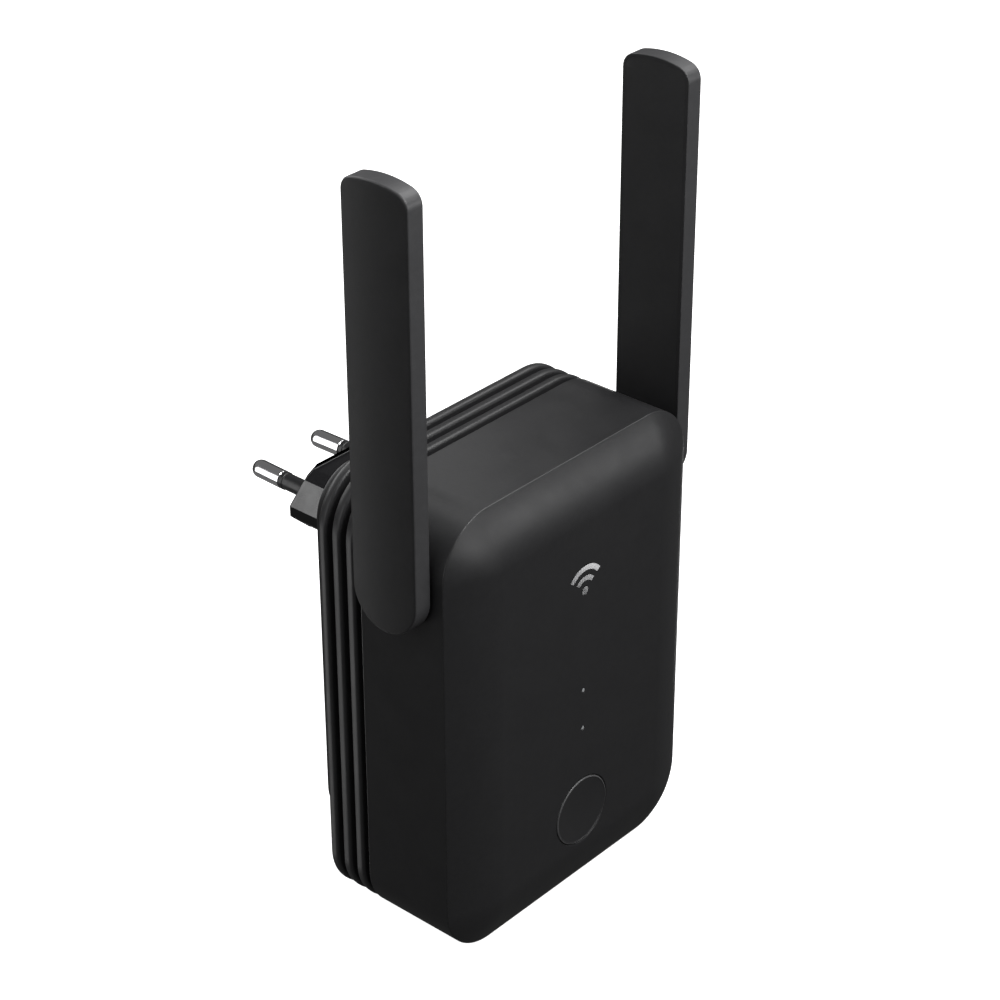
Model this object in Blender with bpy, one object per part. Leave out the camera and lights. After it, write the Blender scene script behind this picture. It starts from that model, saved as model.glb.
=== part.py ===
"""Wifi range extender: plug-in body, two folding blade antennas and a pairing button.

Origin: centre of the plug's flat end face. +Y points into the wall, -Y at the viewer,
+Z up. All figures below are millimetres; MM turns them into metres.
"""
import math

import bmesh
import bpy

MM = 0.001
SHARP_ANGLE = math.radians(35.0)
GAP = 0.3                      # clearance between neighbouring pieces

# Body outline (seen from the front)
BODY_HALF_W = 36.8
BODY_TOP = 27.1
BODY_BOTTOM = -75.6
CORNER_R = 12.6
CORNER_STEPS = 7

# Body depth
FRONT_EDGE_Y = -60.7
CROWN_DEPTH = 4.5
CROWN_SPAN = 12.4
CROWN_RINGS = 6
CROWN_POWER = 1.75
FACE_Y = FRONT_EDGE_Y - CROWN_DEPTH
WALL = 2.0
SHELL_REAR_Y = -38.9
RIB_PITCH = 3.68
GROOVE = 1.55
RIB_COUNT = 3
BACK_FACE_Y = SHELL_REAR_Y + RIB_COUNT * RIB_PITCH + 0.4
GROOVE_DEPTH = WALL + GAP
REAR_WALL = 1.7
REAR_INNER_Y = BACK_FACE_Y - 2.0
TONGUE_Y = SHELL_REAR_Y - 3.4
RIB_ROUND = 0.6
BACK_ROUND = 1.25
VENT_HALF = 4.5
VENT_WIDTH = 1.2
VENT_X = (-18.0, -6.0, 6.0, 18.0)
VENT_Z = (-54.0, -42.0, -30.0, -18.0, -6.0, 6.0)
BEYOND = 1.0                   # how far a cutter starts outside the face it cuts

# Raised back plate
PLATE_HALF_W = BODY_HALF_W - 3.0
PLATE_TOP = BODY_TOP - 3.0
PLATE_BOTTOM = -59.6
PLATE_R = 9.8
PLATE_FRONT_Y = BACK_FACE_Y + 0.3
PLATE_BACK_Y = -24.2

# Plug
PLUG_FLANGE = 2.2
PLUG_FLANGE_DEPTH = 1.7
PLUG_OUTLINE = [(10.0, 6.8), (12.9, 5.4), (17.6, 1.1), (17.6, -1.1), (12.9, -5.4), (10.0, -6.8)]
PIN_X = 9.3
PIN_TIP_X = 8.8
PIN_R = 2.0
PIN_LENGTH = 19.1
SLEEVE_END_Y = 10.2
SLEEVE_R = 1.85
SLEEVE_BORE = 1.6
PIN_CORE_R = 1.5
PIN_HOLE_R = 2.15
PIN_INNER_Y = -37.6
SLEEVE_INNER_Y = -31.0
PIN_HOLE_END_Y = -34.0

# Front controls
BUTTON_Z = -54.8
BUTTON_R = 7.85
BUTTON_HOLE_R = BUTTON_R + 0.2
BUTTON_FLANGE = 1.3
BUTTON_FLANGE_DEPTH = 0.8
BUTTON_STEM_R = 2.2
BUTTON_STEM_END = 3.3          # behind the face, as are the plunger's ends
PLUNGER_START = 3.4
PLUNGER_END = 5.1
PLUNGER_R = 1.4
LENS_R = 0.45
LENS_HOLE_R = 0.55
LENS_FOOT_R = 1.5
LENS_FOOT_END = 5.4
LED_Z = {"upper": -24.8, "lower": -34.1}
EMBLEM_Z = -0.9
EMBLEM_ARCS = {"inner": (2.3, 3.4), "outer": (4.6, 5.8)}
EMBLEM_HALF_ANGLE = 52.0
EMBLEM_DOT_R = 0.92
EMBLEM_GAP = 0.08
EMBLEM_GAP_ANGLE = 1.2
EMBLEM_POCKET = 0.6

# Antennas
HINGE_Y = -50.05
HINGE_Z = 11.3
BLADE_HALF_W = 8.2
BLADE_INNER_X = 37.5
BLADE_OUTER_X = 41.8
BLADE_TOP = 96.3
BLADE_TOP_R = 24.0
BLADE_CORNER_R = 3.2
BLADE_WALL = 1.2
BLADE_LEDGE = 0.8
COVER_INSET = 0.95
COVER_DEPTH = 1.0
RADIATOR_HALF_W = 5.2
RADIATOR_Z = (20.0, 88.0)
RADIATOR_X = (38.95, 39.75)
HUB_R = 4.9
HUB_HOLE_R = 5.2
HUB_FLANGE_R = 6.0
HUB_NECK_R = 3.7
HUB_CLIP_R = 4.3
HUB_BORE_R = 1.5
HUB_X = (32.3, 40.2)
HUB_FLANGE_X = 38.75
HUB_STEP_X = 34.3
HUB_CLIP_X = 33.0
WASHER_R = (3.95, 6.0)
WASHER_X = (33.2, 34.0)
COAX_R = 0.65
COAX_ROUTE = [(27.5, -56.4, -2.0), (27.5, -54.6, -1.0), (28.4, -52.2, 4.0), (29.6, -50.6, 9.0),
              (31.6, HINGE_Y, 11.2)]

# Circuit boards
BOARD = 1.6
MAIN_BOARD_Y = -58.4
POWER_BOARD_Y = -36.6
MAIN_BOARD_MIDDLE = (0.0, -24.0)
POWER_BOARD_MIDDLE = (0.0, -18.5)
BOARD_POST_X = 26.0
BOARD_POST_Z = (15.5, -63.0)
BOARD_POST_R = 2.2
SHIELD_HALF_W = 22.0
SHIELD_Z = (-40.0, -8.0)
SHIELD_HEIGHT = 3.0
SHIELD_WALL = 0.4
FIN_COUNT = 9
FIN_PITCH = 4.25
FIN_THICK = 2.0
FIN_HEIGHT = 2.2
SPREADER_BASE = 0.8
SPREADER_HALF_W = 18.0
SPREADER_Z = (-36.0, -12.0)

# Ethernet socket
JACK_HALF_W = 8.0
JACK_DEPTH = 13.5
JACK_HEIGHT = 17.2
JACK_GAP = 0.35
JACK_Y = MAIN_BOARD_Y + BOARD + GAP
JACK_BOTTOM = BODY_BOTTOM + 0.4
CONTACT_COUNT = 8
CONTACT_PITCH = 1.27
CONTACT_WIDTH = 0.6

SIDES = {"left": -1, "right": 1}
SCREW_X = 27.5
SCREW_Z = {"upper": 16.5, "lower": -51.0}
SCREW_HOLE_R = 1.7
SCREW_SEAT_R = 2.9
SCREW_HEAD_R = 2.6
SCREW_CORE_R = 1.3
SCREW_POST_R = 3.2
SCREW_LENGTH = 9.2

MATERIALS = {
    "shell": ((0.012, 0.012, 0.013), 0.55, 0.0),
    "plug": ((0.01, 0.01, 0.011), 0.25, 0.0),
    "metal": ((0.72, 0.72, 0.73), 0.22, 1.0),
    "sleeve": ((0.015, 0.015, 0.016), 0.35, 0.0),
    "lens": ((0.75, 0.78, 0.8), 0.2, 0.0),
    "emblem": ((0.42, 0.43, 0.45), 0.18, 1.0),
    "board": ((0.02, 0.12, 0.06), 0.45, 0.0),
    "ferrite": ((0.05, 0.05, 0.055), 0.6, 0.0),
    "tape": ((0.8, 0.62, 0.08), 0.45, 0.0),
    "can": ((0.04, 0.05, 0.12), 0.35, 0.0),
    "box_cap": ((0.75, 0.55, 0.05), 0.4, 0.0),
    "gold": ((0.83, 0.6, 0.2), 0.25, 1.0),
    "white_pa": ((0.7, 0.69, 0.65), 0.5, 0.0),
}


# ---------------------------------------------------------------- helpers

def clear_objects():
    """Remove whatever the start-up scene holds."""
    for item in list(bpy.data.objects):
        bpy.data.objects.remove(item, do_unlink=True)


def make_material(node_name, kind):
    """One Principled material per piece."""
    colour, roughness, metallic = MATERIALS[kind]
    material = bpy.data.materials.new("mat_" + node_name)
    material.use_nodes = True
    shader = material.node_tree.nodes["Principled BSDF"]
    shader.inputs["Base Color"].default_value = (*colour, 1.0)
    shader.inputs["Roughness"].default_value = roughness
    shader.inputs["Metallic"].default_value = metallic
    return material


def make_object(name, work, kind=None, origin=(0.0, 0.0, 0.0)):
    """Object from a bmesh in millimetres; its origin sits at the given point."""
    bmesh.ops.recalc_face_normals(work, faces=work.faces)
    if work.calc_volume(signed=True) < 0.0:
        bmesh.ops.reverse_faces(work, faces=work.faces)
    bmesh.ops.translate(work, vec=[-value for value in origin], verts=work.verts)
    bmesh.ops.scale(work, vec=(MM, MM, MM), verts=work.verts)
    mesh = bpy.data.meshes.new(name)
    work.to_mesh(mesh)
    work.free()
    mesh.shade_smooth()
    mesh.set_sharp_from_angle(angle=SHARP_ANGLE)
    item = bpy.data.objects.new(name, mesh)
    item.location = tuple(value * MM for value in origin)
    bpy.context.collection.objects.link(item)
    if kind:
        mesh.materials.append(make_material(name, kind))
    return item


def loft(name, rings, kind=None, closed=False, origin=(0.0, 0.0, 0.0)):
    """Solid extruded from ring to ring; a closed one has its two ends bridged instead of capped."""
    work = bmesh.new()
    first = work.faces.new([work.verts.new(point) for point in rings[0]])
    last = first
    for ring in rings[1:]:
        grown = bmesh.ops.extrude_face_region(work, geom=[last, *last.edges, *last.verts])
        last = next(item for item in grown["geom"] if isinstance(item, bmesh.types.BMFace))
        for vert, point in zip(last.verts, ring):
            vert.co = point
    if closed:
        seam = list(first.edges) + list(last.edges)
        bmesh.ops.delete(work, geom=[first, last], context="FACES_ONLY")
        bmesh.ops.bridge_loops(work, edges=seam)
    return make_object(name, work, kind, origin)


def place(axis, along, u, v):
    """Point from a distance along an axis and two cross coordinates."""
    if axis == "X":
        return (along, u, v)
    if axis == "Y":
        return (u, along, v)
    return (u, v, along)


def circle(axis, along, centre, radius, steps):
    """Ring of points about an axis; centre is the pair of cross coordinates."""
    ring = []
    for index in range(steps):
        angle = 2.0 * math.pi * index / steps
        u = centre[0] + radius * math.cos(angle)
        v = centre[1] + radius * math.sin(angle)
        ring.append(place(axis, along, u, v))
    return ring


def turned(name, axis, centre, profile, kind=None, steps=24, closed=False, origin=(0.0, 0.0, 0.0)):
    """Solid of revolution; profile is a list of (distance along the axis, radius)."""
    rings = [circle(axis, along, centre, radius, steps) for along, radius in profile]
    return loft(name, rings, kind, closed, origin)


def bore(axis, centre, start, end, radius, steps):
    """Plain round cutter."""
    return turned("cut", axis, centre, [(start, radius), (end, radius)], steps=steps)


def prism(name, axis, outline, start, end, kind=None, origin=(0.0, 0.0, 0.0)):
    """Outline in the two cross coordinates, extruded straight along an axis."""
    work = bmesh.new()
    face = work.faces.new([work.verts.new(place(axis, start, u, v)) for u, v in outline])
    grown = bmesh.ops.extrude_face_region(work, geom=[face])
    moved = [item for item in grown["geom"] if isinstance(item, bmesh.types.BMVert)]
    bmesh.ops.translate(work, vec=place(axis, end - start, 0.0, 0.0), verts=moved)
    return make_object(name, work, kind, origin)


def block(name, x, y, z, kind=None, origin=(0.0, 0.0, 0.0)):
    """Box between three pairs of limits."""
    work = bmesh.new()
    bmesh.ops.create_cube(work, size=1.0)
    bmesh.ops.scale(work, vec=(x[1] - x[0], y[1] - y[0], z[1] - z[0]), verts=work.verts)
    middle = [(low + high) / 2.0 for low, high in (x, y, z)]
    bmesh.ops.translate(work, vec=middle, verts=work.verts)
    return make_object(name, work, kind, origin)


def chamfered(half_u, half_v, chamfer, centre=(0.0, 0.0)):
    """Rectangle outline with cut corners."""
    short_u = half_u - chamfer
    short_v = half_v - chamfer
    corners = [(half_u, -short_v), (half_u, short_v), (short_u, half_v), (-short_u, half_v),
               (-half_u, short_v), (-half_u, -short_v), (-short_u, -half_v), (short_u, -half_v)]
    return [(centre[0] + u, centre[1] + v) for u, v in corners]


def rounded_ring(y, inset, half_w, bottom, top, radius, steps=CORNER_STEPS):
    """Rounded rectangle in the XZ plane, moved inwards by inset."""
    radius_in = max(radius - inset, 0.4)
    reach_x = half_w - inset - radius_in
    low = bottom + inset + radius_in
    high = top - inset - radius_in
    corners = [(reach_x, high, 0.0), (-reach_x, high, 90.0), (-reach_x, low, 180.0), (reach_x, low, 270.0)]
    ring = []
    for centre_x, centre_z, start in corners:
        for index in range(steps + 1):
            angle = math.radians(start + 90.0 * index / steps)
            ring.append((centre_x + radius_in * math.cos(angle), y, centre_z + radius_in * math.sin(angle)))
    return ring


def body_ring(y, inset):
    return rounded_ring(y, inset, BODY_HALF_W, BODY_BOTTOM, BODY_TOP, CORNER_R)


def boolean(target, tool, operation="DIFFERENCE"):
    """Live boolean; the tool object stays hidden."""
    step = target.modifiers.new(operation.lower() + "_" + tool.name, "BOOLEAN")
    step.object = tool
    step.operation = operation
    step.solver = "EXACT"
    tool.hide_render = True
    tool.display_type = "WIRE"


def merge_tools(name, tools):
    """Gather separate cutter solids into one hidden object."""
    work = bmesh.new()
    for tool in tools:
        work.from_mesh(tool.data)
        bpy.data.objects.remove(tool, do_unlink=True)
    mesh = bpy.data.meshes.new(name)
    work.to_mesh(mesh)
    work.free()
    item = bpy.data.objects.new(name, mesh)
    bpy.context.collection.objects.link(item)
    return item


def plug_ring(y, grow_x=0.0, grow_z=0.0):
    """Flattened ten-sided plug outline, optionally enlarged."""
    right = [(x + grow_x, z + math.copysign(grow_z, z)) for x, z in PLUG_OUTLINE]
    left = [(-x, z) for x, z in reversed(right)]
    return [(x, y, z) for x, z in right + left]


# ---------------------------------------------------------------- housing

def crown_y(inset):
    """Depth of the crowned front at a given distance in from its edge."""
    rest = 1.0 - min(inset / CROWN_SPAN, 1.0)
    return FRONT_EDGE_Y - CROWN_DEPTH * (1.0 - rest ** CROWN_POWER)


def front_shell_rings():
    """From the middle of the front, round the edge, back along the sides and inside again."""
    insets = [CROWN_SPAN * (CROWN_RINGS - k) / CROWN_RINGS for k in range(CROWN_RINGS)]
    rings = [body_ring(crown_y(inset), inset) for inset in insets]
    rings.append(body_ring(FRONT_EDGE_Y - 0.05, 0.12))
    rings.append(body_ring(FRONT_EDGE_Y + 0.25, 0.0))
    rings.append(body_ring(SHELL_REAR_Y - 0.2, 0.0))
    rings.append(body_ring(SHELL_REAR_Y, 0.2))
    rings.append(body_ring(SHELL_REAR_Y, WALL))
    inner = [WALL] + sorted(i for i in insets if i > WALL + 1.0)
    for inset in inner:
        rings.append(body_ring(crown_y(inset) + WALL, inset))
    return rings


def emblem_outline(inner_r, outer_r, half_angle):
    """Arc-shaped outline, centred on the emblem's dot."""
    steps = 10
    angles = [math.radians(90.0 - half_angle + 2.0 * half_angle * k / steps) for k in range(steps + 1)]
    outer = [(outer_r * math.cos(a), EMBLEM_Z + outer_r * math.sin(a)) for a in angles]
    inner = [(inner_r * math.cos(a), EMBLEM_Z + inner_r * math.sin(a)) for a in reversed(angles)]
    return outer + inner


def build_front_shell():
    shell = loft("front_shell", front_shell_rings(), "shell")
    posts = []
    for sign in SIDES.values():
        for height in BOARD_POST_Z:
            profile = [(FACE_Y + 0.8 * WALL, BOARD_POST_R), (MAIN_BOARD_Y - GAP, BOARD_POST_R)]
            posts.append(turned("post", "Y", (sign * BOARD_POST_X, height), profile, steps=12))
    boolean(shell, merge_tools("tool_board_posts", posts), "UNION")
    cuts = [bore("Y", (0.0, BUTTON_Z), FACE_Y - BEYOND, FACE_Y + 2.6 * WALL, BUTTON_HOLE_R, 40)]
    for height in LED_Z.values():
        cuts.append(bore("Y", (0.0, height), FACE_Y - BEYOND, FACE_Y + 2.6 * WALL, LENS_HOLE_R, 12))
    pocket = (FACE_Y - BEYOND, FACE_Y + EMBLEM_POCKET)
    cuts.append(bore("Y", (0.0, EMBLEM_Z), *pocket, EMBLEM_DOT_R + EMBLEM_GAP, 16))
    for inner_r, outer_r in EMBLEM_ARCS.values():
        half_angle = EMBLEM_HALF_ANGLE + EMBLEM_GAP_ANGLE
        outline = emblem_outline(inner_r - EMBLEM_GAP, outer_r + EMBLEM_GAP, half_angle)
        cuts.append(prism("cut", "Y", outline, *pocket))
    for sign in SIDES.values():
        start, end = sign * (BODY_HALF_W + BEYOND), sign * (BODY_HALF_W - 3.0 * WALL)
        cuts.append(bore("X", (HINGE_Y, HINGE_Z), start, end, HUB_HOLE_R, 28))
    half_w = JACK_HALF_W + JACK_GAP
    depth = (JACK_Y - JACK_GAP, JACK_Y + JACK_DEPTH + JACK_GAP)
    cuts.append(block("cut", (-half_w, half_w), depth, (BODY_BOTTOM - BEYOND, BODY_BOTTOM + 1.75 * WALL)))
    boolean(shell, merge_tools("tool_front_openings", cuts))
    return shell


def rear_shell_rings():
    """From the middle of the back, over the three ribs, along the tongue and inside again."""
    rings = [body_ring(BACK_FACE_Y, BACK_ROUND)]
    rings.append(body_ring(BACK_FACE_Y - 0.3 * BACK_ROUND, 0.3 * BACK_ROUND))
    rings.append(body_ring(BACK_FACE_Y - BACK_ROUND, 0.0))
    for rib in range(RIB_COUNT):
        front = SHELL_REAR_Y + (RIB_COUNT - 1 - rib) * RIB_PITCH + GROOVE
        if rib > 0:
            rings.append(body_ring(front + RIB_PITCH - GROOVE, GROOVE_DEPTH))
            rings.append(body_ring(front + RIB_PITCH - GROOVE, 0.0))
        rings.append(body_ring(front + RIB_ROUND, 0.0))
        rings.append(body_ring(front, RIB_ROUND))
        rings.append(body_ring(front, GROOVE_DEPTH))
    rings.append(body_ring(TONGUE_Y, GROOVE_DEPTH))
    rings.append(body_ring(TONGUE_Y, GROOVE_DEPTH + REAR_WALL))
    rings.append(body_ring(REAR_INNER_Y, GROOVE_DEPTH + REAR_WALL))
    return rings


def vent_cutters():
    """Slots through the floors of the two rear grooves, on all four sides."""
    cuts = []
    reach = GROOVE_DEPTH + REAR_WALL + BEYOND
    for groove in (1, 2):
        start = SHELL_REAR_Y + groove * RIB_PITCH + GAP
        depth = (start, start + VENT_WIDTH)
        for centre in VENT_X:
            span = (centre - VENT_HALF, centre + VENT_HALF)
            cuts.append(block("cut", span, depth, (BODY_TOP - reach, BODY_TOP - BEYOND)))
            cuts.append(block("cut", span, depth, (BODY_BOTTOM + BEYOND, BODY_BOTTOM + reach)))
        for centre in VENT_Z:
            span = (centre - VENT_HALF, centre + VENT_HALF)
            cuts.append(block("cut", (BODY_HALF_W - reach, BODY_HALF_W - BEYOND), depth, span))
            cuts.append(block("cut", (BEYOND - BODY_HALF_W, reach - BODY_HALF_W), depth, span))
    return cuts


def build_rear_shell():
    shell = loft("rear_shell", rear_shell_rings(), "shell")
    posts = []
    for sign in SIDES.values():
        for height in SCREW_Z.values():
            profile = [(REAR_INNER_Y + 0.8, SCREW_POST_R), (POWER_BOARD_Y + BOARD + GAP, SCREW_POST_R)]
            posts.append(turned("post", "Y", (sign * SCREW_X, height), profile, steps=16))
    boolean(shell, merge_tools("tool_screw_posts", posts), "UNION")
    cuts = vent_cutters()
    for sign in SIDES.values():
        for height in SCREW_Z.values():
            start, end = BACK_FACE_Y + BEYOND, POWER_BOARD_Y + BEYOND
            cuts.append(bore("Y", (sign * SCREW_X, height), start, end, SCREW_HOLE_R, 16))
    window = [plug_ring(BACK_FACE_Y + BEYOND, GAP, GAP), plug_ring(REAR_INNER_Y - 2 * GAP, GAP, GAP)]
    cuts.append(loft("cut", window))
    boolean(shell, merge_tools("tool_rear_openings", cuts))
    return shell


def build_back_plate():
    def ring(y, inset):
        return rounded_ring(y, inset, PLATE_HALF_W, PLATE_BOTTOM, PLATE_TOP, PLATE_R)

    rings = [ring(PLATE_FRONT_Y, 0.0), ring(PLATE_BACK_Y - 0.7, 0.0), ring(PLATE_BACK_Y - 0.2, 0.2)]
    rings.append(ring(PLATE_BACK_Y, 0.7))
    plate = loft("back_plate", rings, "shell")
    start, end = PLATE_FRONT_Y - BEYOND, PLATE_BACK_Y + BEYOND
    cuts = [loft("cut", [plug_ring(start, GAP, GAP), plug_ring(end, GAP, GAP)])]
    for sign in SIDES.values():
        for height in SCREW_Z.values():
            profile = [(end, SCREW_SEAT_R), (PLATE_BACK_Y - 0.3, SCREW_SEAT_R)]
            profile += [(PLATE_BACK_Y - 1.5, SCREW_HOLE_R), (start, SCREW_HOLE_R)]
            cuts.append(turned("cut", "Y", (sign * SCREW_X, height), profile, steps=20))
    boolean(plate, merge_tools("tool_plate_openings", cuts))
    return plate


def build_back_screws():
    """Countersunk cross-head screws through the back plate into the rear shell's posts."""
    for side, sign in SIDES.items():
        for level, height in SCREW_Z.items():
            centre = (sign * SCREW_X, height)
            top = PLATE_BACK_Y - 0.35
            profile = [(top, SCREW_HEAD_R), (top - 0.2, SCREW_HEAD_R), (top - 1.4, SCREW_CORE_R)]
            profile += [(top - SCREW_LENGTH + 0.6, SCREW_CORE_R), (top - SCREW_LENGTH, SCREW_CORE_R / 2.0)]
            screw = turned("back_screw_" + level + "_" + side, "Y", centre, profile, "metal", steps=20)
            slots = []
            for half_x, half_z in ((1.4, 0.3), (0.3, 1.4)):
                x_limits = (centre[0] - half_x, centre[0] + half_x)
                z_limits = (centre[1] - half_z, centre[1] + half_z)
                slots.append(block("cut", x_limits, (top - 0.8, top + BEYOND), z_limits))
            for index, slot in enumerate(slots):
                boolean(screw, slot)
                slot.name = "tool_" + screw.name + "_" + str(index)


# ---------------------------------------------------------------- plug

def build_plug_block():
    """Moulded plug body with a flange trapped behind the rear shell's wall."""
    flange_y = REAR_INNER_Y - GAP
    rings = [plug_ring(0.0, -0.35, -0.35), plug_ring(-0.4), plug_ring(flange_y)]
    rings.append(plug_ring(flange_y, PLUG_FLANGE, PLUG_FLANGE))
    rings.append(plug_ring(flange_y - PLUG_FLANGE_DEPTH, PLUG_FLANGE, PLUG_FLANGE))
    plug = loft("plug_block", rings, "plug")
    holes = []
    for sign in SIDES.values():
        holes.append(bore("Y", (sign * PIN_X, 0.0), BEYOND, PIN_HOLE_END_Y, PIN_HOLE_R, 20))
    boolean(plug, merge_tools("tool_pin_holes", holes))
    return plug


def pin_centre(y):
    """Pins lean slightly towards each other outside the plug."""
    lean = max(y, 0.0) / PIN_LENGTH
    return PIN_X + (PIN_TIP_X - PIN_X) * lean


def pin_rings(sign, profile, steps=20):
    return [circle("Y", y, (sign * pin_centre(y), 0.0), radius, steps) for y, radius in profile]


def build_pins():
    """Contact pins with their insulating sleeves."""
    start = SLEEVE_END_Y + 0.1
    tip = PIN_LENGTH
    for side, sign in SIDES.items():
        profile = [(PIN_INNER_Y, PIN_CORE_R), (start - 0.05, PIN_CORE_R), (start, PIN_R)]
        profile += [(tip - 1.9, PIN_R), (tip - 1.2, PIN_R * 0.92)]
        profile += [(tip - 0.5, PIN_R * 0.68), (tip, PIN_R * 0.25)]
        loft("pin_" + side, pin_rings(sign, profile), "metal")
        outside = [(SLEEVE_INNER_Y, SLEEVE_R), (SLEEVE_END_Y - 1.0, SLEEVE_R), (SLEEVE_END_Y - 0.9, PIN_R)]
        outside.append((SLEEVE_END_Y, PIN_R))
        profile = outside + [(SLEEVE_END_Y, SLEEVE_BORE), (SLEEVE_INNER_Y, SLEEVE_BORE)]
        loft("pin_sleeve_" + side, pin_rings(sign, profile), "sleeve", closed=True)


# ---------------------------------------------------------------- front controls

def build_button():
    """Flanged cap, the plunger it pushes and the switch that plunger works."""
    pivot = (0.0, FACE_Y, BUTTON_Z)
    centre = (0.0, BUTTON_Z)
    rim = BUTTON_R
    flange_start = FACE_Y + WALL + GAP
    flange_end = flange_start + BUTTON_FLANGE_DEPTH
    profile = [(FACE_Y + 0.12, rim * 0.3), (FACE_Y + 0.02, rim * 0.75), (FACE_Y - 0.1, rim - 0.35)]
    profile += [(FACE_Y, rim - 0.05), (FACE_Y + 0.2, rim), (flange_start, rim)]
    profile += [(flange_start, rim + BUTTON_FLANGE), (flange_end, rim + BUTTON_FLANGE)]
    profile += [(flange_end, BUTTON_STEM_R), (FACE_Y + BUTTON_STEM_END, BUTTON_STEM_R)]
    turned("button_cap", "Y", centre, profile, "shell", steps=40, origin=pivot)
    start = FACE_Y + PLUNGER_START
    plunger = [(start, PLUNGER_R - 0.2), (start + 0.1, PLUNGER_R), (FACE_Y + PLUNGER_END, PLUNGER_R)]
    turned("switch_plunger", "Y", centre, plunger, "white_pa", steps=16, origin=pivot)
    body = (MAIN_BOARD_Y - 2.6, MAIN_BOARD_Y - GAP)
    switch = block("tact_switch", (-3.0, 3.0), body, (BUTTON_Z - 3.0, BUTTON_Z + 3.0), "ferrite")
    well = bore("Y", centre, body[0] - BEYOND, body[0] + 1.9, PLUNGER_R + GAP, 16)
    well.name = "tool_switch_well"
    boolean(switch, well)


def build_light_pipes():
    """Stepped lenses that carry the two lamps' light to the face."""
    for level, height in LED_Z.items():
        foot = FACE_Y + WALL + GAP
        profile = [(FACE_Y + 0.05, LENS_R - 0.1), (FACE_Y + 0.15, LENS_R), (foot, LENS_R)]
        profile += [(foot, LENS_FOOT_R), (FACE_Y + LENS_FOOT_END, LENS_FOOT_R)]
        turned("light_pipe_" + level, "Y", (0.0, height), profile, "lens", steps=12)


def build_emblem():
    """Plain signal symbol: a dot under two arcs, set into pockets in the face."""
    front = FACE_Y - 0.04
    back = FACE_Y + EMBLEM_POCKET - 0.1
    dot = [(front, EMBLEM_DOT_R), (back, EMBLEM_DOT_R)]
    turned("emblem_dot", "Y", (0.0, EMBLEM_Z), dot, "emblem", steps=16)
    for level, (inner_r, outer_r) in EMBLEM_ARCS.items():
        outline = emblem_outline(inner_r, outer_r, EMBLEM_HALF_ANGLE)
        prism("emblem_arc_" + level, "Y", outline, front, back, "emblem")


# ---------------------------------------------------------------- electronics

def build_boards():
    outline = chamfered(32.0, 46.0, 9.0, MAIN_BOARD_MIDDLE)
    prism("main_board", "Y", outline, MAIN_BOARD_Y, MAIN_BOARD_Y + BOARD, "board")
    outline = chamfered(30.0, 37.5, 6.0, POWER_BOARD_MIDDLE)
    board = prism("power_board", "Y", outline, POWER_BOARD_Y, POWER_BOARD_Y + BOARD, "board")
    holes = []
    for sign in SIDES.values():
        start, end = POWER_BOARD_Y - BEYOND, POWER_BOARD_Y + BOARD + BEYOND
        holes.append(bore("Y", (sign * PIN_X, 0.0), start, end, PIN_CORE_R + 0.2, 16))
    boolean(board, merge_tools("tool_board_holes", holes))


def build_main_board_parts():
    """Open-backed shield can with a finned heat spreader on it, and the network socket."""
    back = MAIN_BOARD_Y + BOARD + 0.1
    half_w = SHIELD_HALF_W
    shield = block("rf_shield", (-half_w, half_w), (back, back + SHIELD_HEIGHT), SHIELD_Z, "metal")
    half_w -= SHIELD_WALL
    inside = (SHIELD_Z[0] + SHIELD_WALL, SHIELD_Z[1] - SHIELD_WALL)
    depth = (back - BEYOND, back + SHIELD_HEIGHT - SHIELD_WALL)
    boolean(shield, block("tool_shield_hollow", (-half_w, half_w), depth, inside))
    base = back + SHIELD_HEIGHT + 0.2
    outline = [(-SPREADER_HALF_W, base), (SPREADER_HALF_W, base)]
    for index in range(FIN_COUNT):
        right = SPREADER_HALF_W - index * FIN_PITCH
        left = right - FIN_THICK
        outline += [(right, base + FIN_HEIGHT), (left, base + FIN_HEIGHT)]
        if index < FIN_COUNT - 1:
            outline += [(left, base + SPREADER_BASE), (right - FIN_PITCH, base + SPREADER_BASE)]
    prism("heat_spreader", "Z", outline, *SPREADER_Z, "metal")


def build_ethernet_jack():
    """Eight-way modular socket, open downwards."""
    body = (JACK_Y, JACK_Y + JACK_DEPTH)
    height = (JACK_BOTTOM, JACK_BOTTOM + JACK_HEIGHT)
    jack = block("ethernet_jack", (-JACK_HALF_W, JACK_HALF_W), body, height, "ferrite")
    cavity = (JACK_Y + 2.0, JACK_Y + 9.0)
    latch = (cavity[1] - 0.5, cavity[1] + 2.0)
    start = JACK_BOTTOM - BEYOND
    tools = [block("tool_jack_cavity", (-5.9, 5.9), cavity, (start, JACK_BOTTOM + 12.5)),
             block("tool_jack_latch", (-3.0, 3.0), latch, (start, JACK_BOTTOM + 12.0))]
    for tool in tools:
        boolean(jack, tool)
    wall = cavity[0] + 0.2
    rail = [(-5.4, wall), (5.4, wall)]
    for index in range(CONTACT_COUNT):
        right = 4.95 - index * CONTACT_PITCH
        left = right - CONTACT_WIDTH
        rail += [(right, wall + 0.3), (right, wall + 0.9), (left, wall + 0.9), (left, wall + 0.3)]
    rail.append((-5.4, wall + 0.3))
    prism("jack_contacts", "Z", rail, JACK_BOTTOM + 4.0, JACK_BOTTOM + 11.5, "gold")


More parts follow.
